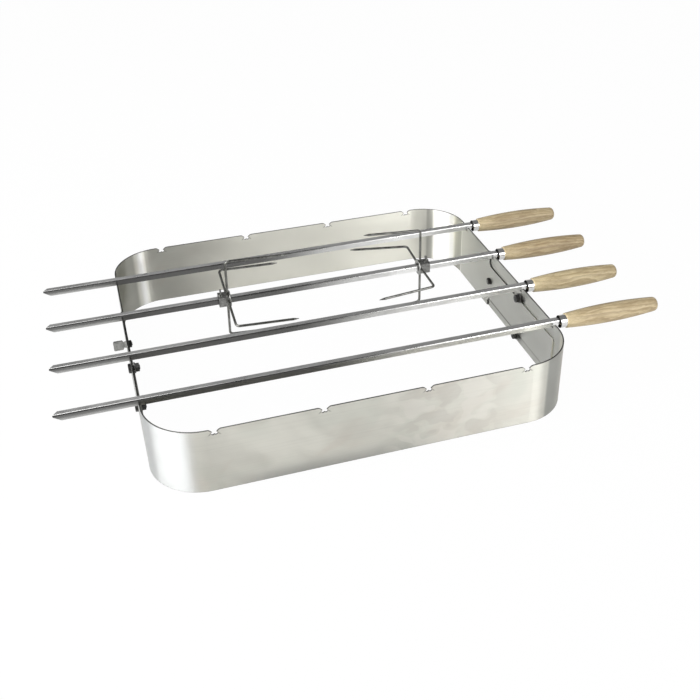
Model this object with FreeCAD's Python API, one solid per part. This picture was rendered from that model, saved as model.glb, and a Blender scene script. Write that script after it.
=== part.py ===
import FreeCAD, Part
import math
import os

# A frame for cooking on skewers. Two bent sheets slide into one another, four skewers lie across them
# in notches, and the second skewer from the back carries two meat forks. Millimetres, X to the right,
# Y to the back, Z up. The origin is the centre of the closed frame, on the surface that it stands on.

# Frame
frame_width = 500.0
frame_depth = 425.0
wall_height = 82.5
sheet = 1.5
corner_radius = 62.0
layer_gap = 0.2            # air between the outer wing and the inner tongue
wing_past_screw = 11.5     # the wing's rear end, behind the thumb screw

# Notches, each made of two slots that cross
slot_width = 3.5
cross_depth = 3.25         # from the top edge to where the slots cross
slot_reach = 2.6           # from the crossing to the centre of a slot's round end
flare_radius = 5.5         # rounding at the top edge
wall_notch_pitch = 120.0   # along the front and rear walls
side_notch_pitch = 91.0    # along the side walls
notch_count = 4

# Tongues of the rear half
tongue_height = 50.0
tongue_bottom = 13.2
tongue_reach = 195.0       # from the step to the tongue's front end
step_clear = 1.1           # from the notch's foot to the step
step_bevel = 5.0
tongue_round = 4.0

# Clamp bolts with washers and hexagon nuts
bolt_radius = 3.0
bolt_clearance = 0.3       # to the sheet and to the tongue's edges
bolt_place = -47.5         # Y of all four bolts
bolt_flats = 10.0          # of the heads and of the nuts
bolt_head_height = 3.6
bolt_past_nut = 0.8
bolt_chamfer = 0.5
washer_radius = 6.6
washer_thickness = 1.4
washer_gap = 0.1           # to the sliding tongue
clamp_nut_height = 4.6
clamp_nut_turn = 30.0      # degrees, which sets two of its flats upright
crown_face = 0.475         # radius of a crowned end face, times the flats
crown_angle = 30.0         # degrees from the end face
running_gap = 0.05         # round a turning screw or on a turning nut

# Thumb screws with nuts
screw_radius = 2.5
screw_height = 41.0
collar_radius = 4.2
collar_length = 2.0
thumb_neck_length = 2.4
thumb_length = 11.2
thumb_width = 13.0
thumb_thickness = 2.5
thumb_corner = 1.2
screw_nut_flats = 8.0
screw_nut_height = 3.6
screw_end = 0.8            # past the nut

# Skewers
leg = 7.5
strip = 1.8
bend_radius = 2.0
seat_gap = 0.25            # between the skewer's edge and the notch's peak
leg_front = -1.4           # the hanging leg's front face, from the notch's centre
tip_overhang = 90.0        # past the left wall
blade_past_wall = (4.0, 4.0, 4.8, 6.0)    # of the rear skewer to the front one, past the right wall
point_length = 10.0        # of the hanging leg
point_length_top = 6.0     # of the top leg
point_inset = 1.0          # of the top leg's point, from the strip's front face
tang_leg = 5.2
tang_length = 68.0
shoulder = 2.0

# Ferrules and handles
ferrule_gap = 0.5          # from the shoulder's end to the ferrule
ferrule_radius = 8.0
ferrule_length = 8.5
ferrule_wall = 0.9
ferrule_mouth = 2.0        # depth of the open end, before the end wall
ferrule_end = 1.0          # thickness of the end wall
ferrule_chamfer = 0.5
fit_gap = 0.05
bore_gap = 0.15            # round the tang
bore_past_tang = 2.0
handle_drop = 0.8          # of the handle's axis below the middle of the strip's section
handle_length = (120.5, 122.0, 121.0, 126.5)    # from the rear skewer to the front one
handle_neck = 9.3          # radii along the handle, from the ferrule to the rounded end
handle_belly = 12.0
handle_waist = 10.9
handle_tail = 9.1
handle_belly_at = 0.42     # places along the handle, as shares of its length
handle_waist_at = 0.78
neck_chamfer = 0.8
end_round = 5.0

# Meat forks
fork_places = (-117.0, 143.5)   # X of the plane of each fork's arms
fork_turns = ((9.0, 9.0, 9.0, 8.0), (0.0, 4.0, 0.0, 0.0))    # degrees each arm is turned about the skewer
fork_skewer = 2                 # counted from the back
arm_radius = ((59.5, 60.5, 60.0, 56.5), (54.5, 53.0, 54.0, 55.5))    # left, right: top, rear, bottom, front
wire_radius = 1.6
wire_bend = 5.0
tine_reach = 78.0
tine_lean = ((-3.0, -3.0, 3.5, 4.0), (4.0, 10.0, 6.0, 7.0))          # degrees outward, in the same order
tine_point = 7.0
tip_radius = 0.35
hub_block = 14.6
hub_length = 13.5
hub_centre = (2.0, -3.1)        # Y and Z from the notch's centre and the skewer's top
block_chamfer = 0.8
flange_radius = 10.8
flange_thickness = 1.8
flange_chamfer = 0.6
hub_gap = 0.23                  # between the hub's bore and the skewer's farthest edge
arm_root = 2.5                  # depth of the socket that each arm stands in
fork_screw_radius = 1.6
fork_screw_inset = 3.4          # from the block's outer end
fork_screw_head = (1.5, 7.0, 4.5)    # thickness, width and height
fork_screw_corner = 1.5
fork_screw_neck = 1.2
boss_radius = 3.4
boss_height = 1.6

margin = 1.0                    # that a cutting body reaches past what it cuts
same = 1e-6                     # within which two places are one

# Places worked out from the sizes above
X, Y, Z = FreeCAD.Vector(1, 0, 0), FreeCAD.Vector(0, 1, 0), FreeCAD.Vector(0, 0, 1)
half_width = frame_width / 2
half_depth = frame_depth / 2
inner_half_width = half_width - sheet - layer_gap     # outer face of the rear half's sides
tongue_face = inner_half_width - sheet                # inner face of the tongues
side_notches = [side_notch_pitch * (notch_count - 1 - 2 * k) / 2 for k in range(notch_count)]
wall_notches = [wall_notch_pitch * (notch_count - 1 - 2 * k) / 2 for k in range(notch_count)]
neck_half = slot_width / math.sqrt(2)
foot_half = slot_reach / math.sqrt(2) + slot_width / 2
peak_depth = cross_depth + neck_half
screw_place = side_notches[fork_skewer - 1]
step_place = screw_place + foot_half + step_clear
wing_end = screw_place + wing_past_screw
tongue_top = tongue_bottom + tongue_height
bolt_heights = {"upper": tongue_top + bolt_radius + bolt_clearance,
                "lower": tongue_bottom - bolt_radius - bolt_clearance}
sides = {"left": -1, "right": 1}
washer_face = tongue_face - washer_gap
nut_face = washer_face - washer_thickness
skewer_bottom = wall_height - peak_depth + seat_gap
skewer_top = skewer_bottom + leg
blade_start = -half_width - tip_overhang


def box(low, high):
    return Part.makeBox(high[0] - low[0], high[1] - low[1], high[2] - low[2], FreeCAD.Vector(*low))


def rod(radius, start, axis, length):
    return Part.makeCylinder(radius, length, FreeCAD.Vector(*start), axis)


def hexagon(flats, start, axis, length, turn=0.0):
    """A prism with six sides along X, crowned at its far end; without a turn, two of its flats are level."""
    corner = flats / math.sqrt(3)
    angles = [math.radians(60 * k + turn) for k in range(7)]
    points = [FreeCAD.Vector(start[0], start[1] + corner * math.cos(a), start[2] + corner * math.sin(a))
              for a in angles]
    face = crown_face * flats
    crown = Part.makeCone(face + length / math.tan(math.radians(crown_angle)), face, length,
                          FreeCAD.Vector(*start), axis)
    return Part.Face(Part.makePolygon(points)).extrude(axis * length).common(crown)


def prism(points, along):
    return Part.Face(Part.makePolygon(points + points[:1])).extrude(along)


def chamfered(shape, size, pick):
    edges = [edge for edge in shape.Edges if pick(edge)]
    return shape.makeChamfer(size, edges)


def mirrored(shape, side):
    return shape if side > 0 else shape.mirror(FreeCAD.Vector(0, 0, 0), X)


def rounded_rectangle(half_x, half_y, radius):
    """A face in the plane Z = 0 with its centre at the origin."""
    edges = []
    for k, (sx, sy) in enumerate(((1, 1), (-1, 1), (-1, -1), (1, -1))):
        centre = FreeCAD.Vector(sx * (half_x - radius), sy * (half_y - radius), 0)
        start = math.radians(90 * k)
        points = [centre + FreeCAD.Vector(math.cos(a), math.sin(a), 0) * radius
                  for a in (start, start + math.pi / 4, start + math.pi / 2)]
        if edges:
            edges.append(Part.LineSegment(last, points[0]).toShape())
        else:
            first = points[0]
        edges.append(Part.Arc(*points).toShape())
        last = points[2]
    edges.append(Part.LineSegment(last, first).toShape())
    return Part.Face(Part.Wire(edges))


def ring(half_x):
    """A closed band of sheet, as wide as 2 half_x and as deep as the frame, with all corners concentric."""
    radius = corner_radius - (half_width - half_x)
    outer = rounded_rectangle(half_x, half_depth, radius).extrude(Z * wall_height)
    inner = rounded_rectangle(half_x - sheet, half_depth - sheet, radius - sheet).extrude(Z * wall_height)
    return outer.cut(inner)


def notch_cutter(place, across, depth):
    """Two crossing slots with round ends and a rounded mouth, cut from the top edge.

    across is the direction of the wall's length, and the cutter reaches depth mm each way."""
    through = across.cross(Z)

    def at(u, d):
        return place + across * u + Z * (wall_height - d) - through * depth

    shapes = []
    for lean in (1, -1):
        end = (-lean * slot_reach / math.sqrt(2), cross_depth + slot_reach / math.sqrt(2))
        start = (lean * (cross_depth + slot_width), -slot_width)
        half = slot_width / 2 / math.sqrt(2)
        corners = [(start[0] - lean * half, start[1] - half), (end[0] - lean * half, end[1] - half),
                   (end[0] + lean * half, end[1] + half), (start[0] + lean * half, start[1] + half)]
        shapes.append(prism([at(u, d) for u, d in corners], through * 2 * depth))
        shapes.append(Part.makeCylinder(slot_width / 2, 2 * depth, at(*end), through))
    mouth = cross_depth + neck_half
    reach = flare_radius * math.tan(math.radians(22.5))
    top, low = (mouth + reach, 0), (mouth - reach / math.sqrt(2), reach / math.sqrt(2))
    centre = (mouth + reach, flare_radius)
    turn = math.radians(90 + 22.5)
    middle = (centre[0] + flare_radius * math.cos(turn), centre[1] - flare_radius * math.sin(turn))
    edges = [Part.Arc(at(*top), at(*middle), at(*low)).toShape(),
             Part.LineSegment(at(*low), at(-low[0], low[1])).toShape(),
             Part.Arc(at(-low[0], low[1]), at(-middle[0], middle[1]), at(-top[0], 0)).toShape(),
             Part.LineSegment(at(-top[0], 0), at(-top[0], -1)).toShape(),
             Part.LineSegment(at(-top[0], -1), at(top[0], -1)).toShape(),
             Part.LineSegment(at(top[0], -1), at(*top)).toShape()]
    shapes.append(Part.Face(Part.Wire(edges)).extrude(through * 2 * depth))
    return shapes[0].multiFuse(shapes[1:]).removeSplitter()


def wall_cutters(y):
    """Notches of the front or rear wall."""
    return [notch_cutter(FreeCAD.Vector(x, y, 0), X, 3 * sheet) for x in wall_notches]


def side_cutters():
    """Notches of both side walls, through the outer and the inner sheet."""
    return [notch_cutter(FreeCAD.Vector(side * (half_width - sheet), y, 0), Y, 4 * sheet)
            for y in side_notches for side in sides.values()]


def front_half():
    """Front wall, both front corners and the outer wings with the clamp holes and the screw slots."""
    shape = ring(half_width).common(box((-half_width, -half_depth, 0), (half_width, wing_end, wall_height)))
    cutters = wall_cutters(-half_depth) + side_cutters()
    hole = bolt_radius + bolt_clearance
    slot = screw_radius + bolt_clearance
    through = sheet + 2 * margin
    for side in sides.values():
        start = side * (half_width + margin)
        for z in bolt_heights.values():
            cutters.append(rod(hole, (start, bolt_place, z), X * -side, through))
        cutters.append(rod(slot, (start, screw_place, screw_height), X * -side, through))
        ends = sorted((start, start - side * through))
        cutters.append(box((ends[0], screw_place, screw_height - slot),
                           (ends[1], wing_end + margin, screw_height + slot)))
    return shape.cut(cutters)


def rear_half():
    """Rear wall, both rear corners, full-height sides to the step, and the tongues."""
    front_end = step_place - tongue_reach
    outline = [(half_depth, 0), (half_depth, wall_height), (step_place, wall_height),
               (step_place, tongue_top + step_bevel), (step_place - step_bevel, tongue_top),
               (front_end + tongue_round, tongue_top), (front_end, tongue_top - tongue_round),
               (front_end, tongue_bottom + tongue_round), (front_end + tongue_round, tongue_bottom),
               (step_place - step_bevel, tongue_bottom), (step_place, tongue_bottom - step_bevel),
               (step_place, 0)]
    side_view = prism([FreeCAD.Vector(-half_width, y, z) for y, z in outline], X * frame_width)
    shape = ring(inner_half_width).common(side_view)
    cutters = wall_cutters(half_depth) + side_cutters()
    for side in sides.values():
        start = (side * half_width, screw_place, screw_height)
        cutters.append(rod(screw_radius + running_gap, start, X * -side, 4 * sheet))
    return shape.cut(cutters)


def clamp_bolt(side, z):
    """A hexagon head outside the wing and a shank that ends just past the nut."""
    length = half_width - nut_face + clamp_nut_height + bolt_past_nut
    head = hexagon(bolt_flats, (half_width, bolt_place, z), X, bolt_head_height)
    shank = rod(bolt_radius, (half_width, bolt_place, z), X * -1, length)
    shank = chamfered(shank, bolt_chamfer, lambda edge: abs(edge.CenterOfMass.x - half_width + length) < same)
    return mirrored(head.fuse(shank), side)


def clamp_washer(side, z):
    disc = rod(washer_radius, (nut_face, bolt_place, z), X, washer_thickness)
    through = washer_thickness + 2 * margin
    hole = rod(bolt_radius + bolt_clearance, (nut_face - margin, bolt_place, z), X, through)
    return mirrored(disc.cut(hole), side)


def clamp_nut(side, z):
    """A crowned hexagon nut that stands on its washer."""
    nut = hexagon(bolt_flats, (nut_face, bolt_place, z), X * -1, clamp_nut_height, clamp_nut_turn)
    through = clamp_nut_height + 2 * margin
    bore = rod(bolt_radius + running_gap, (nut_face + margin, bolt_place, z), X * -1, through)
    return mirrored(nut.cut(bore), side)


def thumb_screw(side):
    """A flat thumb plate on a tapered neck, a collar outside the wing, and the shank."""
    start = half_width + washer_gap
    collar = rod(collar_radius, (start, screw_place, screw_height), X, collar_length)
    neck_start = start + collar_length
    plate_start = neck_start + thumb_neck_length
    plate_end = plate_start + thumb_length
    half = thumb_width / 2
    upper = [(neck_start, screw_radius), (plate_start, half), (plate_end - thumb_corner, half),
             (plate_end, half - thumb_corner)]
    outline = upper + [(x, -z) for x, z in reversed(upper)]
    front = screw_place - thumb_thickness / 2
    plate = prism([FreeCAD.Vector(x, front, screw_height + z) for x, z in outline], Y * thumb_thickness)
    length = start - tongue_face + screw_nut_height + screw_end
    shank = rod(screw_radius, (start, screw_place, screw_height), X * -1, length)
    return mirrored(collar.multiFuse([plate, shank]).removeSplitter(), side)


def thumb_screw_nut(side):
    nut = hexagon(screw_nut_flats, (tongue_face, screw_place, screw_height), X * -1, screw_nut_height)
    through = screw_nut_height + 2 * margin
    bore = rod(screw_radius + running_gap, (tongue_face + margin, screw_place, screw_height), X * -1, through)
    return mirrored(nut.cut(bore), side)


def angle_section(x, y, size):
    """The strip's cross section, folded along its upper front edge, as a face across X."""
    front = y + leg_front
    rear_inner = front + strip
    under = skewer_top - strip
    bend = bend_radius * (1 - math.sqrt(0.5))

    def at(v, w):
        return FreeCAD.Vector(x, v, w)

    edges = [Part.LineSegment(at(front, skewer_top - size), at(front, skewer_top - bend_radius)).toShape(),
             Part.Arc(at(front, skewer_top - bend_radius), at(front + bend, skewer_top - bend),
                      at(front + bend_radius, skewer_top)).toShape()]
    corners = [(front + bend_radius, skewer_top), (front + size, skewer_top), (front + size, under),
               (rear_inner, under), (rear_inner, skewer_top - size), (front, skewer_top - size)]
    edges += [Part.LineSegment(at(*a), at(*b)).toShape() for a, b in zip(corners, corners[1:])]
    return Part.Face(Part.Wire(edges))


def handle_axis(number):
    """Y and Z of the handle's axis: under the middle of the strip's section."""
    return side_notches[number - 1] + leg_front + leg / 2, skewer_top - leg / 2 - handle_drop


def shoulder_start(number):
    return half_width + blade_past_wall[number - 1]


def ferrule_start(number):
    return shoulder_start(number) + shoulder + ferrule_gap


def blade(number):
    """The strip from its point to the shoulder, and its narrowed tang."""
    y = side_notches[number - 1]
    blade_end = shoulder_start(number)
    taper_end = blade_end + shoulder
    shape = angle_section(blade_start, y, leg).extrude(X * (taper_end - blade_start))
    front = y + leg_front
    outside = front - margin
    far = front + leg + margin
    below = skewer_bottom - margin
    above = skewer_top + margin
    thick = strip + margin
    tip = blade_start - margin
    ridge = front + point_inset
    side_cut = prism([FreeCAD.Vector(tip, outside, skewer_top - strip),
                      FreeCAD.Vector(blade_start, outside, skewer_top - strip),
                      FreeCAD.Vector(blade_start + point_length, outside, below),
                      FreeCAD.Vector(tip, outside, below)], Y * thick)
    top_cut = prism([FreeCAD.Vector(tip, ridge, below),
                     FreeCAD.Vector(blade_start, ridge, below),
                     FreeCAD.Vector(blade_start + point_length_top, far, below),
                     FreeCAD.Vector(tip, far, below)], Z * (above - below))
    side_taper = prism([FreeCAD.Vector(blade_end, outside, skewer_bottom),
                        FreeCAD.Vector(taper_end, outside, skewer_top - tang_leg),
                        FreeCAD.Vector(taper_end, outside, below),
                        FreeCAD.Vector(blade_end, outside, below)], Y * thick)
    under = skewer_top - strip - margin
    top_taper = prism([FreeCAD.Vector(blade_end, front + leg, under),
                       FreeCAD.Vector(taper_end, front + tang_leg, under),
                       FreeCAD.Vector(taper_end, far, under),
                       FreeCAD.Vector(blade_end, far, under)], Z * (above - under))
    tang = angle_section(taper_end, y, tang_leg).extrude(X * (blade_end + tang_length - taper_end))
    return shape.cut([side_cut, top_cut, side_taper, top_taper]).fuse(tang).removeSplitter()


def tang_bore_radius():
    """The smallest round bore about the handle's axis that clears the tang."""
    half = leg / 2
    rise = half + handle_drop
    corners = [(tang_leg - half, rise), (half, rise - tang_leg)]
    fold = math.hypot(half - bend_radius, rise - bend_radius) + bend_radius
    return max([fold] + [math.hypot(*corner) for corner in corners]) + bore_gap


def ferrule(number):
    """A cup over the handle's spigot: an open mouth, then an end wall with a round hole for the tang."""
    v, w = handle_axis(number)
    start = ferrule_start(number)
    cup = rod(ferrule_radius, (start, v, w), X, ferrule_length)
    cup = chamfered(cup, ferrule_chamfer, lambda edge: abs(edge.CenterOfMass.x - start) < same)
    inside = ferrule_radius - ferrule_wall
    mouth = rod(inside, (start - margin, v, w), X, margin + ferrule_mouth)
    room = rod(inside, (start + ferrule_mouth + ferrule_end, v, w), X, ferrule_length)
    hole = rod(tang_bore_radius(), (start, v, w), X, ferrule_length)
    return cup.cut([mouth, room, hole])


def handle(number):
    """A turned handle: spigot, neck, belly and rounded end, bored for the tang."""
    v, w = handle_axis(number)
    length = handle_length[number - 1]
    start = ferrule_start(number) + ferrule_length
    end = start + length
    spigot = ferrule_radius - ferrule_wall - fit_gap
    spigot_start = ferrule_start(number) + ferrule_mouth + ferrule_end + fit_gap

    def at(x, radius):
        return FreeCAD.Vector(x, v, w + radius)

    neck_start = start + neck_chamfer
    round_start = end - end_round
    profile = Part.BSplineCurve()
    profile.interpolate([at(neck_start, handle_neck), at(start + handle_belly_at * length, handle_belly),
                         at(start + handle_waist_at * length, handle_waist), at(round_start, handle_tail)])
    turn = math.radians(45)
    flat = handle_tail - end_round
    edges = [Part.LineSegment(at(spigot_start, 0), at(spigot_start, spigot)).toShape(),
             Part.LineSegment(at(spigot_start, spigot), at(start, spigot)).toShape(),
             Part.LineSegment(at(start, spigot), at(start, handle_neck - neck_chamfer)).toShape(),
             Part.LineSegment(at(start, handle_neck - neck_chamfer), at(neck_start, handle_neck)).toShape(),
             profile.toShape(),
             Part.Arc(at(round_start, handle_tail),
                      at(round_start + end_round * math.sin(turn), flat + end_round * math.cos(turn)),
                      at(end, flat)).toShape(),
             Part.LineSegment(at(end, flat), at(end, 0)).toShape(),
             Part.LineSegment(at(end, 0), at(spigot_start, 0)).toShape()]
    body = Part.Face(Part.Wire(edges)).revolve(FreeCAD.Vector(0, v, w), X, 360)
    bore_end = shoulder_start(number) + tang_length + bore_past_tang
    bore = rod(tang_bore_radius(), (spigot_start - margin, v, w), X, bore_end - spigot_start + margin)
    return body.cut(bore)


def hub_place():
    """Y and Z of the centre of both hubs."""
    return side_notches[fork_skewer - 1] + hub_centre[0], skewer_top + hub_centre[1]


def hub_bore_radius():
    """The smallest bore about the hub's centre that clears the strip's farthest edges."""
    v, w = hub_centre
    corners = [(leg_front - v, -leg - w), (leg_front + strip - v, -leg - w), (leg_front + leg - v, -w)]
    return max(math.hypot(*corner) for corner in corners) + hub_gap


def arm_direction(turn, number):
    """Outward direction of an arm: top, rear, bottom, front for number 0 to 3."""
    angle = math.radians(90 - 90 * number + turn)
    return FreeCAD.Vector(0, math.cos(angle), math.sin(angle))


def prong_path(plane, way, outward, radius, lean):
    """Centre line of a prong from its root: the arm, the bend and the tine.

    outward is the arm's direction, and the tine turns 90 degrees less its outward lean towards way X."""
    centre = FreeCAD.Vector(plane, *hub_place())
    tine = outward * math.sin(lean) + X * way * math.cos(lean)
    corner = centre + outward * radius
    back = wire_bend * math.tan((math.pi / 2 - lean) / 2)
    bend_start, bend_end = corner - outward * back, corner + tine * back
    bend_centre = bend_start + X * way * wire_bend
    inward = corner - bend_centre
    middle = bend_centre + inward * (wire_bend / inward.Length)
    straight_end = corner + tine * ((tine_reach - tine_point) / math.cos(lean))
    root = centre + outward * (hub_block / 2 - arm_root)
    wire = Part.Wire([Part.LineSegment(root, bend_start).toShape(),
                      Part.Arc(bend_start, middle, bend_end).toShape(),
                      Part.LineSegment(bend_end, straight_end).toShape()])
    return wire, straight_end, tine


def prong(fork, plane, way, number):
    """One bent wire with a ground point."""
    outward = arm_direction(fork_turns[fork][number], number)
    lean = math.radians(tine_lean[fork][number])
    wire, straight_end, tine = prong_path(plane, way, outward, arm_radius[fork][number], lean)
    circle = Part.Wire(Part.makeCircle(wire_radius, wire.Vertexes[0].Point, outward))
    body = wire.makePipeShell([circle], True, False)
    point = Part.makeCone(wire_radius, tip_radius, tine_point, straight_end, tine)
    return body.fuse(point).removeSplitter()


def hub(fork, plane, way):
    """Flange on the tines' side, square block behind it with the arms' sockets and a boss for the screw."""
    v, w = hub_place()
    half = hub_block / 2
    block_start = plane + way * (wire_radius + fit_gap)
    block_end = block_start - way * hub_length
    ends = sorted((block_start, block_end))
    block = box((ends[0], v - half, w - half), (ends[1], v + half, w + half))
    block = chamfered(block, block_chamfer, lambda edge: abs(abs(edge.CenterOfMass.y - v) - half) < same
                      and abs(abs(edge.CenterOfMass.z - w) - half) < same)
    flange = rod(flange_radius, (block_start, v, w), X * way, flange_thickness)
    flange = chamfered(flange, flange_chamfer, lambda edge: edge.Length > 6 * flange_radius)
    screw_x = block_end + way * fork_screw_inset
    boss = rod(boss_radius, (screw_x, v, w + half - margin), Z, boss_height + margin)
    shape = block.multiFuse([flange, boss])
    cutters = [rod(hub_bore_radius(), (ends[0] - hub_length, v, w), X, 3 * hub_length)]
    for number in range(4):
        outward = arm_direction(fork_turns[fork][number], number)
        centre = FreeCAD.Vector(plane, v, w) + outward * (half - arm_root - fit_gap)
        cutters.append(Part.makeCylinder(wire_radius + fit_gap, hub_block, centre, outward))
    cutters.append(rod(fork_screw_radius + running_gap, (screw_x, v, w), Z, hub_block))
    return shape.cut(cutters).removeSplitter()


def fork_screw(plane, way):
    """A thin screw through the boss with a flat head to turn by hand."""
    v, w = hub_place()
    x = plane + way * (wire_radius + fit_gap - hub_length + fork_screw_inset)
    head_bottom = w + hub_block / 2 + boss_height + fork_screw_neck
    shank_bottom = skewer_top + washer_gap
    thick, wide, tall = fork_screw_head
    shank = rod(fork_screw_radius, (x, v, shank_bottom), Z, head_bottom - shank_bottom)
    head = box((x - thick / 2, v - wide / 2, head_bottom), (x + thick / 2, v + wide / 2, head_bottom + tall))
    head = chamfered(head, fork_screw_corner, lambda edge: abs(abs(edge.CenterOfMass.y - v) - wide / 2) < same
                     and abs(edge.CenterOfMass.z - head_bottom - tall) < same)
    return shank.fuse(head)


def build():
    parts = {"front_half_frame": front_half(), "rear_half_frame": rear_half()}
    corners = [(side, height) for side in sides for height in bolt_heights]
    parts["clamp_bolts"] = Part.makeCompound([clamp_bolt(sides[s], bolt_heights[h]) for s, h in corners])
    parts["clamp_washers"] = Part.makeCompound([clamp_washer(sides[s], bolt_heights[h]) for s, h in corners])
    for side, height in corners:
        parts[f"clamp_nut_{side}_{height}"] = clamp_nut(sides[side], bolt_heights[height])
    for side in sides:
        parts[f"thumb_screw_{side}"] = thumb_screw(sides[side])
    parts["thumb_screw_nuts"] = Part.makeCompound([thumb_screw_nut(side) for side in sides.values()])
    for number in range(1, notch_count + 1):
        parts[f"skewer_{number}_blade"] = blade(number)
        parts[f"skewer_{number}_ferrule"] = ferrule(number)
        parts[f"skewer_{number}_handle"] = handle(number)
    for fork, (side, plane) in enumerate(zip(sides, fork_places)):
        way = -sides[side]
        parts[f"fork_{side}_hub"] = hub(fork, plane, way)
        parts[f"fork_{side}_screw"] = fork_screw(plane, way)
        for arm, label in enumerate(("top", "rear", "bottom", "front")):
            parts[f"fork_{side}_prong_{label}"] = prong(fork, plane, way, arm)
    return parts


os.makedirs("parts", exist_ok=True)
for name, shape in build().items():
    shape.exportStep(f"parts/{name}.step")
    print(name, len(shape.Solids), "solid" if shape.isValid() else "NOT VALID", round(shape.Volume, 1))
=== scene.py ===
import math
import bpy
from mathutils import Matrix, Vector


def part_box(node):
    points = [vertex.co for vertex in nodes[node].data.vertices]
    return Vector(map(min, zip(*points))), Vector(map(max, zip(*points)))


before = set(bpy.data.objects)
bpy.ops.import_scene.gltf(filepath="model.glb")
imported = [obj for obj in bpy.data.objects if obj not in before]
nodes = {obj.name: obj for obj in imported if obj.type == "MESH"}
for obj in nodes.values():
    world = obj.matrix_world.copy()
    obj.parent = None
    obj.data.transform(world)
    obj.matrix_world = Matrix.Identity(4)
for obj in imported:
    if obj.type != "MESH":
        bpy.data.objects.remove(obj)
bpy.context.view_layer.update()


# Frame halves
# Two strips of 1.5 mm stainless sheet, laser cut with their notches and tongues, then rolled round the
# corners. The front half's wings lie outside the rear half's tongues, and both are brushed along their
# length, so the grain runs level all the way round.

class Field:
    """One output of a node. Arithmetic on fields adds Math nodes, and add() makes any other node."""

    def __init__(self, tree, socket=None):
        self.tree = tree
        self.socket = socket

    def add(self, kind, settings, inputs, out=0):
        """A new node: its settings first, then its sockets, each from a field or a plain value."""
        made = self.tree.nodes.new(kind)
        for name, value in settings.items():
            setattr(made, name, value)
        for key, value in inputs.items():
            if isinstance(value, Field):
                self.tree.links.new(value.socket, made.inputs[key])
            else:
                made.inputs[key].default_value = value
        if isinstance(out, tuple):
            return [Field(self.tree, made.outputs[name]) for name in out]
        return Field(self.tree, made.outputs[out] if made.outputs else None)

    def math(self, operation, first, second=0.0):
        return self.add("ShaderNodeMath", {"operation": operation}, {0: first, 1: second})

    def __add__(self, other):
        return self.math("ADD", self, other)

    def __radd__(self, other):
        return self.math("ADD", other, self)

    def __sub__(self, other):
        return self.math("SUBTRACT", self, other)

    def __rsub__(self, other):
        return self.math("SUBTRACT", other, self)

    def __mul__(self, other):
        return self.math("MULTIPLY", self, other)

    def __rmul__(self, other):
        return self.math("MULTIPLY", other, self)

    def __mod__(self, other):
        return self.math("FLOORED_MODULO", self, other)

    def __abs__(self):
        return self.math("ABSOLUTE", self)

    def rise(self, low, high, start=0.0, end=1.0):
        """Smoothly from start, where this field is low or less, to end, where it is high or more."""
        return self.add("ShaderNodeMapRange", {"interpolation_type": "SMOOTHSTEP"},
                        {0: self, 1: low, 2: high, 3: start, 4: end})

    def fall(self, low, high):
        """Smoothly from 1, where this field is low or less, to 0, where it is high or more."""
        return self.rise(low, high, 1.0, 0.0)

    def band(self, low, full, last, high):
        """0 up to low, 1 from full to last, and 0 again from high on."""
        return self.rise(low, full) * self.fall(last, high)

    def near(self, value, reach):
        """1 where this field has the value, and 0 from reach away on."""
        return abs(self - value).fall(0.0, reach)

    def clamped(self):
        return self.add("ShaderNodeClamp", {}, {0: self})

    def vector(self, x, y, z):
        return self.add("ShaderNodeCombineXYZ", {}, {0: x, 1: y, 2: z})

    def axes(self):
        return self.add("ShaderNodeSeparateXYZ", {}, {0: self}, ("X", "Y", "Z"))

    def scaled(self, factor):
        """This vector times one number."""
        return self.add("ShaderNodeVectorMath", {"operation": "MULTIPLY"}, {0: self, 1: (factor,) * 3})

    def grain(self, detail=2.0, roughness=0.5, distortion=0.0):
        """Noise from 0 to 1 that changes over about one unit of this vector."""
        return self.add("ShaderNodeTexNoise", {}, {"Vector": self, "Scale": 1.0, "Detail": detail,
                                                   "Roughness": roughness, "Distortion": distortion}, "Fac")

    def plain(self, tone):
        """An even colour in this field's material, to start a row of tints from."""
        red, green, blue = tone
        return self.add("ShaderNodeCombineColor", {}, {0: red, 1: green, 2: blue})

    def tinted(self, amount, tone):
        """This colour with an amount, from 0 to 1, of another one mixed in."""
        return self.add("ShaderNodeMix", {"data_type": "RGBA"}, {0: amount, 6: self, 7: (*tone, 1.0)}, 2)

    def relief(self, distance, strength):
        """Normals of a surface raised by this field times the distance, in metres."""
        return self.add("ShaderNodeBump", {}, {"Height": self, "Distance": distance, "Strength": strength})


millimetres = 1000.0         # in a metre


def new_finish(name):
    """A material without nodes, the place on the surface in millimetres and the direction it faces."""
    material = bpy.data.materials.new(name)
    material.use_nodes = True
    material.node_tree.nodes.clear()
    place, facing = Field(material.node_tree).add("ShaderNodeTexCoord", {}, {}, ("Object", "Normal"))
    return material, place.scaled(millimetres), facing


def coat(material, place, **inputs):
    """Closes a material: each input goes to the surface's socket of that name."""
    sockets = {name.replace("_", " "): value for name, value in inputs.items()}
    surface = place.add("ShaderNodeBsdfPrincipled", {}, sockets)
    surface.add("ShaderNodeOutputMaterial", {}, {"Surface": surface})
    return material


def dress(names, material):
    """Gives each of the named pieces this one material."""
    for name in names:
        mesh = nodes[name].data
        mesh.materials.clear()
        mesh.materials.append(material)


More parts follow.
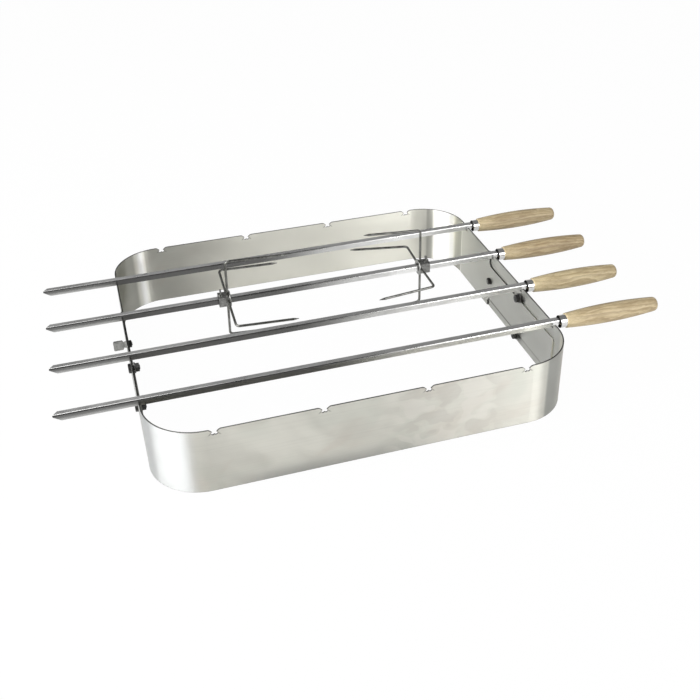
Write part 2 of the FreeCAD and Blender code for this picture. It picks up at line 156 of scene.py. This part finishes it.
wall_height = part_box("front_half_frame")[1][2] * millimetres
straight_x = 187.0           # the front and rear walls are straight at least as far as this
straight_y = 150.0           # and the sides as far as this
walls_from = 205.0           # a place farther out in Y lies on the front or the rear wall
side_pitch = 91.0            # from one notch of a side to the next
wall_pitch = 120.0           # the same for the front and rear walls
slot_half = 1.75             # half the width of the two slots that cross in a notch
slots_cross = 3.25           # from the top edge down to where they cross
slots_end = 6.0              # from the top edge down to where the tint round them starts to fade
tongue_low, tongue_high = 13.2, 63.2
tongue_front = -146.0        # Y just in front of the tongues' front ends
step = 48.0                  # Y of the bevels where the rear half's sides narrow to the tongues
fainter_from = -40.0          # Y in front of which the tongues' dark edges and cut faces, and the painted shade under them, are painted fainter: painted light
burnt_edge = 0.9             # width of the tint that the laser left beside a cut

SHEET = (0.78, 0.77, 0.70)
CLOUD = (0.60, 0.59, 0.535)
WARM_STAIN = (0.70, 0.655, 0.585)
COOL_STAIN = (0.66, 0.68, 0.61)
BRUSH_LINE = (0.52, 0.51, 0.46)
# The next seven tones are painted light: shade on the sides, a paler inner rear wall, shade and highlight
# bands up the corners, a greyer left corner and shade at the front wall's foot.
PAINTED_SHADE_SIDES = (0.50, 0.505, 0.485)
PAINTED_LIGHT_INNER_REAR = (0.93, 0.92, 0.835)
PAINTED_SHADE_REAR_BANDS = (0.34, 0.34, 0.31)
PAINTED_HIGHLIGHT_REAR_BANDS = (0.95, 0.95, 0.93)
PAINTED_SHADE_FRONT_LEFT = (0.58, 0.59, 0.585)
PAINTED_SHADE_FRONT_RIGHT = (0.42, 0.425, 0.40)
PAINTED_SHADE_FOOT = (0.42, 0.42, 0.395)
WIPED = (0.84, 0.81, 0.75)
STAINED = (0.58, 0.55, 0.505)
# The next tone also carries painted shade along the tongues, and the last one is a cut's grey darkened by
# painted shade.
BURNT_AND_SHADE = (0.13, 0.125, 0.11)
CUT_GREY_AND_SHADE = (0.10, 0.10, 0.095)


def cut_faces(place, facing):
    """1 on the sheet's cut edge, which looks up or down, or along the side or wall that it ends."""
    x, y, _ = place.axes()
    facing_x, facing_y, facing_z = facing.axes()
    on_side = abs(y).fall(straight_y, straight_y + 2.0) * abs(facing_y).rise(0.3, 0.6)
    on_wall = abs(x).fall(straight_x, straight_x + 2.0) * abs(facing_x).rise(0.3, 0.6)
    return (abs(facing_z).rise(0.3, 0.5) + on_side + on_wall).clamped()


def notch_rims(place):
    """1 along the rims of every notch. Its two slots cross at 45 degrees to the top edge, so the distance
    from a slot's middle line is the way along the wall from where they cross, plus or minus the way down
    from there, over the root of 2."""
    x, y, z = place.axes()
    depth = wall_height - z
    from_side_notch = y % side_pitch - side_pitch / 2
    from_wall_notch = x % wall_pitch - wall_pitch / 2
    along = place.add("ShaderNodeMix", {"data_type": "FLOAT"},
                      {0: abs(y).rise(walls_from, walls_from + 1.0), 2: from_side_notch, 3: from_wall_notch})
    below = depth - slots_cross
    from_slot = place.math("MINIMUM", abs(along + below), abs(along - below)) * math.sqrt(0.5)
    return from_slot.near(slot_half, burnt_edge + 0.3) * depth.fall(slots_end, slots_end + 2.0)


def under_tongue(place, facing_x):
    """1 in the painted shade of the dark gap under a tongue, on the inner face of its wing, and half that
    towards the front. The face looks inwards, so what it looks along X and its place on X have opposite
    signs. The line belongs to the wing, and stays on it when the frame is pulled out."""
    x, y, z = place.axes()
    inner_face = (facing_x * x).fall(-120.0, -60.0)
    gap = z.band(tongue_low - 5.0, tongue_low - 4.0, tongue_low + 0.2, tongue_low + 0.4)
    beside_tongue = y.rise(tongue_front - 1.0, tongue_front + 1.0) * y.fall(step - 8.0, step + 2.0)
    return inner_face * gap * beside_tongue * y.rise(fainter_from, fainter_from + 10.0, 0.5, 1.0)


def rear_painted_light(tone, place, facing):
    """Painted light: the inner face of the rear wall painted paler, and bands of painted shade and painted
    highlight up its two rolled corners. A corner has turned by 0 beside the wall and by 1 beside the side,
    and each band lies between two turns."""
    x, y, _ = place.axes()
    facing_x, facing_y, _ = facing.axes()
    left = x.fall(-5.0, 5.0)
    right = 1.0 - left
    turned = abs(facing_x) * y.rise(straight_y - 2.0, straight_y + 2.0)
    painted_shade_left = turned.rise(0.25, 0.30, 0.7, 0.0) * x.fall(-180.0, -60.0) + turned.rise(0.50, 0.58)
    painted_shade_right = turned.band(0.38, 0.44, 0.52, 0.57) + turned.rise(0.94, 0.97)
    painted_shade_bands = left * painted_shade_left + right * painted_shade_right
    painted_bright = left * turned.near(0.39, 0.13) + right * turned.band(0.54, 0.60, 0.92, 0.95)
    # Painted light: the rear wall's inner face painted paler, then bands of painted shade and painted
    # highlight up the corners.
    tone = tone.tinted(facing_y.fall(-0.98, -0.9) * x.rise(-190.0, -60.0), PAINTED_LIGHT_INNER_REAR)
    tone = tone.tinted((painted_shade_bands * 0.75).clamped(), PAINTED_SHADE_REAR_BANDS)
    return tone.tinted(painted_bright, PAINTED_HIGHLIGHT_REAR_BANDS)


def front_painted_light_and_stains(tone, place, facing, seed):
    """Painted shade greying the left corner, a band of painted shade up the right corner, and on the front
    wall's outer face painted shade darkening it towards its foot, and the wiped and stained patches right of
    its middle."""
    x, y, z = place.axes()
    facing_x, facing_y, _ = facing.axes()
    left = x.fall(-5.0, 5.0)
    turned = facing_x * y.fall(-straight_y - 2.0, -straight_y + 2.0)
    painted_shade_right = turned.rise(0.30, 0.38) * turned.rise(0.55, 0.95, 1.0, 0.2)
    outer_front = facing_y.fall(-0.98, -0.9)
    painted_foot_shade = z.rise(0.0, 24.0, 0.85, 0.0) * x.band(-200.0, -120.0, -40.0, 110.0)
    smear = place.vector(x * 0.035 + z * 0.03 + seed, y * 0.035, z * 0.045 - x * 0.012).grain(1.0, 0.4, 0.6)
    handled = x.band(-10.0, 50.0, 120.0, 175.0) * outer_front
    # Painted shade: a greyer left corner that tones its highlight, a band up the right corner, and darker
    # towards the wall's foot.
    tone = tone.tinted(left * turned.fall(-0.45, -0.15), PAINTED_SHADE_FRONT_LEFT)
    tone = tone.tinted((1.0 - left) * painted_shade_right * 0.85, PAINTED_SHADE_FRONT_RIGHT)
    tone = tone.tinted(painted_foot_shade * outer_front, PAINTED_SHADE_FOOT)
    tone = tone.tinted(smear.rise(0.50, 0.56) * handled * 0.4, WIPED)
    return tone.tinted(smear.fall(0.40, 0.46) * handled * 0.35, STAINED)


def brushed_sheet(name, seed, has_tongues):
    """Level brush lines, soft clouds, faint warm and cool stains, painted shade on the sides, painted light
    in bands on each half, and grey cut faces darkened by painted shade, with a burnt rim and painted shade
    along the tongues.
    """
    material, place, facing = new_finish(name)
    x, y, z = place.axes()
    facing_x = facing.axes()[0]
    fine = place.vector(x * 0.012, y * 0.012, z * 2.3 + seed).grain(3.0, 0.6)
    lines = place.vector(x * 0.006, y * 0.006 + seed, z * 0.5).grain(2.0, 0.5)
    clouds = place.vector(x * 0.016 + z * 0.011 + seed, y * 0.016, z * 0.018).grain(3.0, 0.5, 0.3)
    warm = place.vector(x * 0.02 - z * 0.02, y * 0.02 + seed, z * 0.024).grain(2.0, 0.5, 0.5)
    cool = place.vector(x * 0.014, y * 0.014, z * 0.016 + seed).grain(2.0, 0.5, 0.4)
    tone = place.plain(SHEET)
    tone = tone.tinted(clouds.rise(0.42, 0.68, 0.0, 0.30), CLOUD)
    tone = tone.tinted(warm.rise(0.50, 0.70, 0.0, 0.45), WARM_STAIN)
    tone = tone.tinted(cool.rise(0.48, 0.70, 0.0, 0.45), COOL_STAIN)
    tone = tone.tinted(lines.rise(0.4, 0.8, 0.0, 0.12), BRUSH_LINE)
    # The sides that face along X are painted in shade, greyer than the walls.
    tone = tone.tinted(abs(facing_x).rise(0.97, 0.995, 0.0, 0.9), PAINTED_SHADE_SIDES)
    cut = cut_faces(place, facing)
    burnt_and_shade = (wall_height - z).near(0.0, burnt_edge) + z.near(0.0, burnt_edge) + notch_rims(place)
    if has_tongues:
        tone = rear_painted_light(tone, place, facing)
        # The tongues' edges get the laser's tint and painted shade of the gap beside them. Towards the front
        # these and the tongues' cut faces fade, as painted light.
        edges = z.near(tongue_low, burnt_edge) + z.near(tongue_high, burnt_edge)
        edges = edges * y.fall(step - 2.0, step + 2.0)
        burnt_and_shade = burnt_and_shade + edges * y.rise(fainter_from, fainter_from + 20.0, 0.1, 1.0)
        cut = cut * y.rise(fainter_from, fainter_from + 30.0)
    else:
        tone = front_painted_light_and_stains(tone, place, facing, seed)
        # Painted shade of the gap under each tongue, in the burnt rims' colour.
        burnt_and_shade = burnt_and_shade + under_tongue(place, facing_x) * 1.5
    # Burnt rims from the laser, with painted shade along the tongues.
    tone = tone.tinted((burnt_and_shade * 0.55).clamped(), BURNT_AND_SHADE)
    # Cut faces: a cut's grey, darkened by painted shade.
    tone = tone.tinted(cut, CUT_GREY_AND_SHADE)
    rough = clouds.rise(0.3, 0.7, 0.36, 0.44) + fine * 0.10 - 0.05
    height = fine * 0.6 + lines * 0.4
    return coat(material, place, Base_Color=tone, Metallic=1.0, Roughness=rough, Anisotropic=0.95,
                Anisotropic_Rotation=0.25, Normal=height.relief(0.00004, 0.35))


dress(["front_half_frame"], brushed_sheet("front_sheet", seed=3.0, has_tongues=False))
dress(["rear_half_frame"], brushed_sheet("rear_sheet", seed=11.0, has_tongues=True))


# Clamp bolts, washers and nuts
# Two plated M6 hexagon bolts come through each wing from outside, one just over and one just under the
# tongue. A washer and a low nut on each press the tongue against the wing.

def plated_steel(name, tone, rough):
    """Plated steel with a fine, slightly cloudy grain."""
    material, place, _ = new_finish(name)
    grain = place.scaled(1.9).grain(2.0, 0.6)
    patches = place.scaled(0.24).grain(3.0, 0.55)
    darker = [part * 0.55 for part in tone]
    lighter = [part * 1.5 for part in tone]
    base = place.plain(tone).tinted(patches.rise(0.35, 0.7, 0.0, 0.8), darker)
    base = base.tinted(grain.rise(0.45, 0.8, 0.0, 0.5), lighter)
    return coat(material, place, Base_Color=base, Metallic=1.0,
                Roughness=grain.rise(0.2, 0.8, rough - 0.08, rough + 0.1), Normal=grain.relief(0.00005, 0.5))


clamp_nuts = [f"clamp_nut_{side}_{height}" for side in ("left", "right") for height in ("upper", "lower")]
dress(["clamp_bolts"] + clamp_nuts, plated_steel("worn_zinc", tone=(0.07, 0.07, 0.068), rough=0.34))
dress(["clamp_washers"], plated_steel("zinc", tone=(0.16, 0.16, 0.155), rough=0.34))


# Thumb screws
# A steel screw with a stamped flat thumb plate joins each wing to the rear half through an open slot, and a
# small hexagon nut sits on it inside.

bare_steel = (0.30, 0.30, 0.29)

thumb_screws = ["thumb_screw_left", "thumb_screw_right"]
dress(thumb_screws, plated_steel("stamped_steel", tone=bare_steel, rough=0.36))
dress(["thumb_screw_nuts"], plated_steel("black_steel", tone=(0.05, 0.05, 0.05), rough=0.40))


# Skewer blades
# 1.8 mm steel strip, folded lengthwise along its upper front edge to an angle with 7.5 mm legs, ground to a
# point at the left and narrowed to a tang at the right. Painted shade darkens the half towards the point,
# and a painted bright reflection lights the half towards the handle.

skewer_numbers = (1, 2, 3, 4)      # from the rear one to the front one
frame_left = -250.0                # X of the frame's left side

# All these tones but the clouded one are painted light: shade, bright and pale reflections, shade on the
# fold and a lighter top face.
PAINTED_SHADE_POINT_HALF = (0.15, 0.15, 0.147)
PAINTED_BRIGHT_HANDLE_HALF = (0.99, 0.99, 0.98)
PAINTED_REFLECTION_OUTSIDE = (0.62, 0.62, 0.61)
CLOUDED = (0.17, 0.17, 0.165)
PAINTED_SHADE_FOLD = (0.09, 0.09, 0.09)
PAINTED_LIGHT_TOP_FACE = (0.85, 0.85, 0.84)


def skewer_strip(name):
    """Lines drawn along the strip, with painted shade towards the point and a painted bright reflection
    towards the handle. The hanging leg has a paler painted reflection outside the frame, the rounded fold
    painted shade where the strip is dark, and the top face is painted lighter."""
    material, place, facing = new_finish(name)
    x, y, z = place.axes()
    facing_z = facing.axes()[2]
    lines = place.vector(x * 0.014, y * 2.4, z * 2.4).grain(2.0, 0.6)
    clouds = place.vector(x * 0.025, y * 0.06, z * 0.06).grain(3.0, 0.6)
    outside = x.fall(frame_left - 12.0, frame_left + 10.0) * z.fall(77.0, 82.0)
    painted_bright = x.rise(-60.0, 120.0)
    # Painted light on the strip: shade towards the point, a bright reflection towards the handle, a paler
    # reflection outside the frame, shade on the fold and a lighter top face. Only the clouds are the steel's
    # own.
    base = place.plain(PAINTED_SHADE_POINT_HALF)
    base = base.tinted(painted_bright, PAINTED_BRIGHT_HANDLE_HALF)
    base = base.tinted(outside * 0.6, PAINTED_REFLECTION_OUTSIDE)
    base = base.tinted(clouds.rise(0.4, 0.7, 0.0, 0.2), CLOUDED)
    base = base.tinted(facing_z.near(0.6, 0.5) * (1.0 - painted_bright) * 0.7, PAINTED_SHADE_FOLD)
    base = base.tinted(facing_z.rise(0.9, 0.98), PAINTED_LIGHT_TOP_FACE)
    rough = clouds.rise(0.3, 0.7, 0.24, 0.36) + lines * 0.1 - 0.05
    return coat(material, place, Base_Color=base, Metallic=1.0, Roughness=rough,
                Normal=lines.relief(0.00003, 0.5))


dress([f"skewer_{number}_blade" for number in skewer_numbers], skewer_strip("strip"))


# Ferrules
# A drawn steel cup, polished and plated, is pressed over each handle's spigot. Its mouth is open towards the
# blade, and the tang passes through an end wall 2 mm inside it.

cup_y = 47.85                      # Y of the second cup's axis, with the others a side's pitch apart
cup_z = 79.97
cup_inside, cup_outside = 7.05, 7.4      # radii between which the painted shade in the mouth ends

PLATING = (0.86, 0.86, 0.85)
SMUDGE = (0.70, 0.70, 0.70)
# The next tone is painted shade for the open end and the mouth.
PAINTED_SHADE_MOUTH = (0.03, 0.03, 0.03)


def polished_cup(name):
    """Bright plating with hairline turning marks round the handle's axis, and painted shade on the open end
    and in the mouth.
    """
    material, place, facing = new_finish(name)
    x, y, z = place.axes()
    off_y = (y - cup_y + side_pitch / 2) % side_pitch - side_pitch / 2
    off_z = z - cup_z
    from_axis = place.math("SQRT", off_y * off_y + off_z * off_z)
    open_end = facing.axes()[0].fall(-0.75, -0.55)
    mouth_shade = (open_end + from_axis.fall(cup_inside, cup_outside)).clamped()
    rings = place.vector(x * 3.2, y * 0.04, z * 0.04).grain(2.0, 0.6)
    smudge = place.scaled(0.18).grain(2.0, 0.5)
    base = place.plain(PLATING).tinted(smudge.rise(0.35, 0.7, 0.0, 0.6), SMUDGE)
    # Painted shade: black on the open end and in the mouth.
    base = base.tinted(mouth_shade, PAINTED_SHADE_MOUTH)
    rough = rings.rise(0.2, 0.8, 0.08, 0.2) + mouth_shade * 0.4
    return coat(material, place, Base_Color=base, Metallic=1.0, Roughness=rough,
                Normal=rings.relief(0.00003, 0.4))


dress([f"skewer_{number}_ferrule" for number in skewer_numbers], polished_cup("plated_cup"))


# Handles
# Turned from pale hardwood with the grain along the handle, lightly oiled, and bored for the tang. No two
# are cut from the same board, so their tone differs a little.

EARLY_WOOD = (0.60, 0.50, 0.315)
LATE_WOOD = (0.35, 0.265, 0.15)
NECK = (0.72, 0.60, 0.36)
FIBRE = (0.74, 0.65, 0.47)
PORE = (0.22, 0.15, 0.08)
# The next tone is painted shade for the handles' backs.
PAINTED_SHADE_BACK = (0.13, 0.11, 0.06)


def turned_wood(name, seed, tint):
    """Growth rings of a flat board cut by the turned shape, with fibres, pores and painted shade on the
    back. A ring's wood darkens slowly through the season and stops at once."""
    material, place, facing = new_finish(name)
    x, y, z = place.axes()
    wander = place.vector(x * 0.012 + seed, y * 0.05, z * 0.05).grain(3.0, 0.55)
    rings = (z * 0.17 + y * 0.12 + x * 0.010 + wander * 5.0 + seed) % 1.0
    late = rings.band(0.1, 0.9, 0.9, 1.0)
    fibre = place.vector(x * 0.05 + seed, y * 1.6, z * 1.6).grain(3.0, 0.6)
    pores = place.vector(x * 0.13, y * 2.6, z * 2.6 + seed).grain(1.0, 0.5).rise(0.62, 0.72)
    flame = place.vector(x * 0.03, y * 0.12 + seed, z * 0.12).grain(3.0, 0.6)
    early_tone = [part * share for part, share in zip(EARLY_WOOD, tint)]
    late_tone = [part * share for part, share in zip(LATE_WOOD, tint)]
    base = place.plain(early_tone).tinted(late * 0.85, late_tone)
    base = base.tinted(flame.rise(0.42, 0.62, 0.0, 0.6), late_tone)
    base = base.tinted(x.fall(268.0, 300.0) * 0.35, NECK)
    base = base.tinted(fibre.rise(0.4, 0.8, 0.0, 0.4), FIBRE)
    base = base.tinted(pores * 0.7, PORE)
    # Painted shade on the side that faces away, towards +Y.
    base = base.tinted(facing.axes()[1].rise(0.15, 0.5, 0.0, 0.85), PAINTED_SHADE_BACK)
    return coat(material, place, Base_Color=base, Roughness=fibre.rise(0.2, 0.8, 0.42, 0.56),
                Normal=(fibre * 0.6 - pores * 0.4).relief(0.0001, 0.45))


wood_tints = ((0.88, 0.85, 0.81), (0.81, 0.76, 0.70), (0.97, 0.96, 0.90), (0.96, 0.93, 0.88))
for number, tint in zip(skewer_numbers, wood_tints):
    dress([f"skewer_{number}_handle"], turned_wood(f"wood_{number}", seed=3.7 * number, tint=tint))


# Meat forks
# Four bent and pointed wires stand in the sockets of each cast and machined hub, and a thin screw with a
# flat head clamps the hub on the skewer.

WIRE = (0.26, 0.26, 0.245)
WIRE_PATCH = (0.13, 0.13, 0.12)


def drawn_wire(name):
    """Drawn wire with fine scratches and darker patches."""
    material, place, _ = new_finish(name)
    patches = place.scaled(0.12).grain(3.0, 0.6)
    fine = place.scaled(1.8).grain(2.0, 0.6)
    base = place.plain(WIRE).tinted(patches.rise(0.3, 0.7), WIRE_PATCH)
    return coat(material, place, Base_Color=base, Metallic=1.0, Roughness=fine.rise(0.2, 0.8, 0.22, 0.34),
                Normal=fine.relief(0.00003, 0.5))


arms = ("top", "rear", "bottom", "front")
dress([f"fork_{side}_prong_{arm}" for side in ("left", "right") for arm in arms], drawn_wire("fork_wire"))
dress(["fork_left_hub", "fork_right_hub"], plated_steel("hub_steel", tone=bare_steel, rough=0.26))
dress(["fork_left_screw", "fork_right_screw"], plated_steel("screw_steel", tone=bare_steel, rough=0.3))


# Camera
# The photograph's view: its place, its turn and its lens.

camera_place = Vector((-0.26182, -1.04242, 0.73405))
look_right = math.radians(17.777)      # from +Y towards +X
look_down = math.radians(32.310)
roll = math.radians(-0.466)            # of the camera's right side, upwards
picture = 700                          # its width and height, in pixels
focal = 990.76                         # in pixels
axis_pixel = (380.64, 318.53)          # where the camera's axis meets the picture

look = Vector((math.sin(look_right) * math.cos(look_down), math.cos(look_right) * math.cos(look_down),
               -math.sin(look_down)))
level = look.cross(Vector((0, 0, 1))).normalized()
right = level * math.cos(roll) + level.cross(look) * math.sin(roll)
camera_data = bpy.data.cameras.new("camera")
camera_data.lens = focal / picture * camera_data.sensor_width
camera_data.shift_x = (picture / 2 - axis_pixel[0]) / picture
camera_data.shift_y = (axis_pixel[1] - picture / 2) / picture
camera_data.clip_start = 0.01
camera = bpy.data.objects.new("camera", camera_data)
turn = Matrix((right, right.cross(look), -look)).transposed()
camera.matrix_world = Matrix.Translation(camera_place) @ turn.to_4x4()
bpy.context.scene.collection.objects.link(camera)
bpy.context.scene.camera = camera


# Studio
# A wide white floor under white surroundings that grow dark overhead, a low soft panel at the left, a soft
# panel overhead and a small one at the front right. The camera sees floor and surroundings plain white.

floor_reach = 8.0                      # metres from the middle to each side
floor_drop = 0.0002                    # below the frame's foot, so that the two don't touch
floor_seen = 0.98                      # share of its own glow in what the camera sees
floor_mirrored = 0.45                  # the same in what the metal mirrors
sky_low, sky_high = 1.0, 0.20          # strength of the surroundings low down and overhead
sky_from, sky_to = 0.08, 0.40          # height of a direction, from 0 to 1, where the change starts and ends
WHITE = (1, 1, 1, 1)
FLOOR_PAINT = (0.86, 0.86, 0.86, 1)

floor_mesh = bpy.data.meshes.new("floor")
floor_corners = [(-floor_reach, -floor_reach, 0), (floor_reach, -floor_reach, 0),
                 (floor_reach, floor_reach, 0), (-floor_reach, floor_reach, 0)]
floor_mesh.from_pydata(floor_corners, [], [(0, 1, 2, 3)])
floor = bpy.data.objects.new("floor", floor_mesh)
floor.location.z = -floor_drop
bpy.context.scene.collection.objects.link(floor)
floor_paint = bpy.data.materials.new("floor_white")
floor_paint.use_nodes = True
floor_paint.node_tree.nodes.clear()
studio = Field(floor_paint.node_tree)
rays = ("Is Camera Ray", "Is Glossy Ray", "Is Transmission Ray")
seen, mirrored, through = studio.add("ShaderNodeLightPath", {}, {}, rays)
lit = studio.add("ShaderNodeBsdfDiffuse", {}, {"Color": FLOOR_PAINT})
glow = studio.add("ShaderNodeEmission", {}, {"Color": WHITE, "Strength": 1.0})
share = (seen + through) * floor_seen + mirrored * floor_mirrored
blend = studio.add("ShaderNodeMixShader", {}, {0: share, 1: lit, 2: glow})
studio.add("ShaderNodeOutputMaterial", {}, {"Surface": blend})
floor_mesh.materials.append(floor_paint)

world = bpy.data.worlds.new("studio")
world.use_nodes = True
world.node_tree.nodes.clear()
sky = Field(world.node_tree)
sky_height = sky.add("ShaderNodeTexCoord", {}, {}, "Generated").axes()[2]
seen, through = sky.add("ShaderNodeLightPath", {}, {}, ("Is Camera Ray", "Is Transmission Ray"))
shade = sky_height.rise(sky_from, sky_to, sky_low, sky_high)
strength = sky.add("ShaderNodeMix", {"data_type": "FLOAT"}, {0: seen + through, 2: shade, 3: 1.0})
backdrop = sky.add("ShaderNodeBackground", {}, {"Color": WHITE, "Strength": strength})
sky.add("ShaderNodeOutputWorld", {}, {"Surface": backdrop})
bpy.context.scene.world = world


def soft_panel(name, place, target, width, height, watts):
    """A rectangular lamp that looks from its place at the target."""
    data = bpy.data.lights.new(name, "AREA")
    data.shape = "RECTANGLE"
    data.size = width
    data.size_y = height
    data.energy = watts
    lamp = bpy.data.objects.new(name, data)
    lamp.location = place
    lamp.rotation_euler = (Vector(target) - Vector(place)).to_track_quat("-Z", "Y").to_euler()
    bpy.context.scene.collection.objects.link(lamp)


soft_panel("left_panel", (-1.45, -0.60, 0.62), target=(0.0, 0.0, 0.05), width=1.9, height=1.0, watts=34)
soft_panel("top_panel", (-0.65, 0.25, 1.55), target=(0.0, 0.0, 0.0), width=1.1, height=1.1, watts=12)
soft_panel("front_panel", (0.95, -1.35, 0.80), target=(0.0, 0.0, 0.05), width=0.6, height=0.9, watts=10)
bpy.context.scene.view_settings.view_transform = "Standard"
